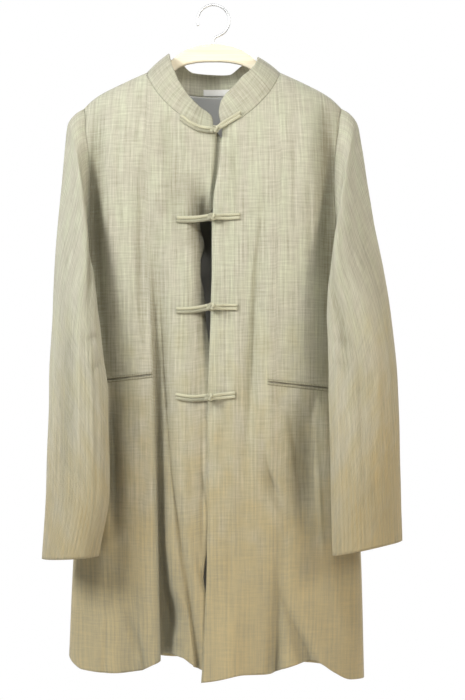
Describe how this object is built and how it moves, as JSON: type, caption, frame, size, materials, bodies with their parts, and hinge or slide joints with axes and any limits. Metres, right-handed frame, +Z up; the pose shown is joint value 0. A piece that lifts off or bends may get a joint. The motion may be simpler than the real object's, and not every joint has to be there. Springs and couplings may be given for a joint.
{
  "type": "mandarin collar coat on a wooden hanger",
  "caption": "Long coat with a stand collar, corded frog fastenings and jetted pockets, hanging on a flat wooden hanger.",
  "frame": {"origin": "inside top of the hook's crook, where the hanger hangs on its rail", "axes": "+Z up, -Y the coat's front, +X the wearer's left"},
  "size_m": [0.558, 0.1791, 1.0635],
  "materials": {
    "shell": "woven, dry, matte",
    "lining": "smooth, slight sheen",
    "label": "matte, bare",
    "wood": "clear satin lacquer",
    "steel": "polished"
  },
  "bodies": {
    "root": {"front_left": "shell", "front_right": "shell", "back": "shell", "collar": "shell", "sleeve_left": "shell", "sleeve_right": "shell", "pocket_left_upper_jet": "shell", "pocket_left_lower_jet": "shell", "pocket_right_upper_jet": "shell", "pocket_right_lower_jet": "shell", "frog_loop_1": "shell", "frog_knot_1": "shell", "frog_loop_2": "shell", "frog_knot_2": "shell", "frog_loop_3": "shell", "frog_knot_3": "shell", "frog_loop_4": "shell", "frog_knot_4": "shell", "lining_back": "lining", "neck_label": "label", "hanger": "wood", "hook": "steel"}
  },
  "joints": []
}
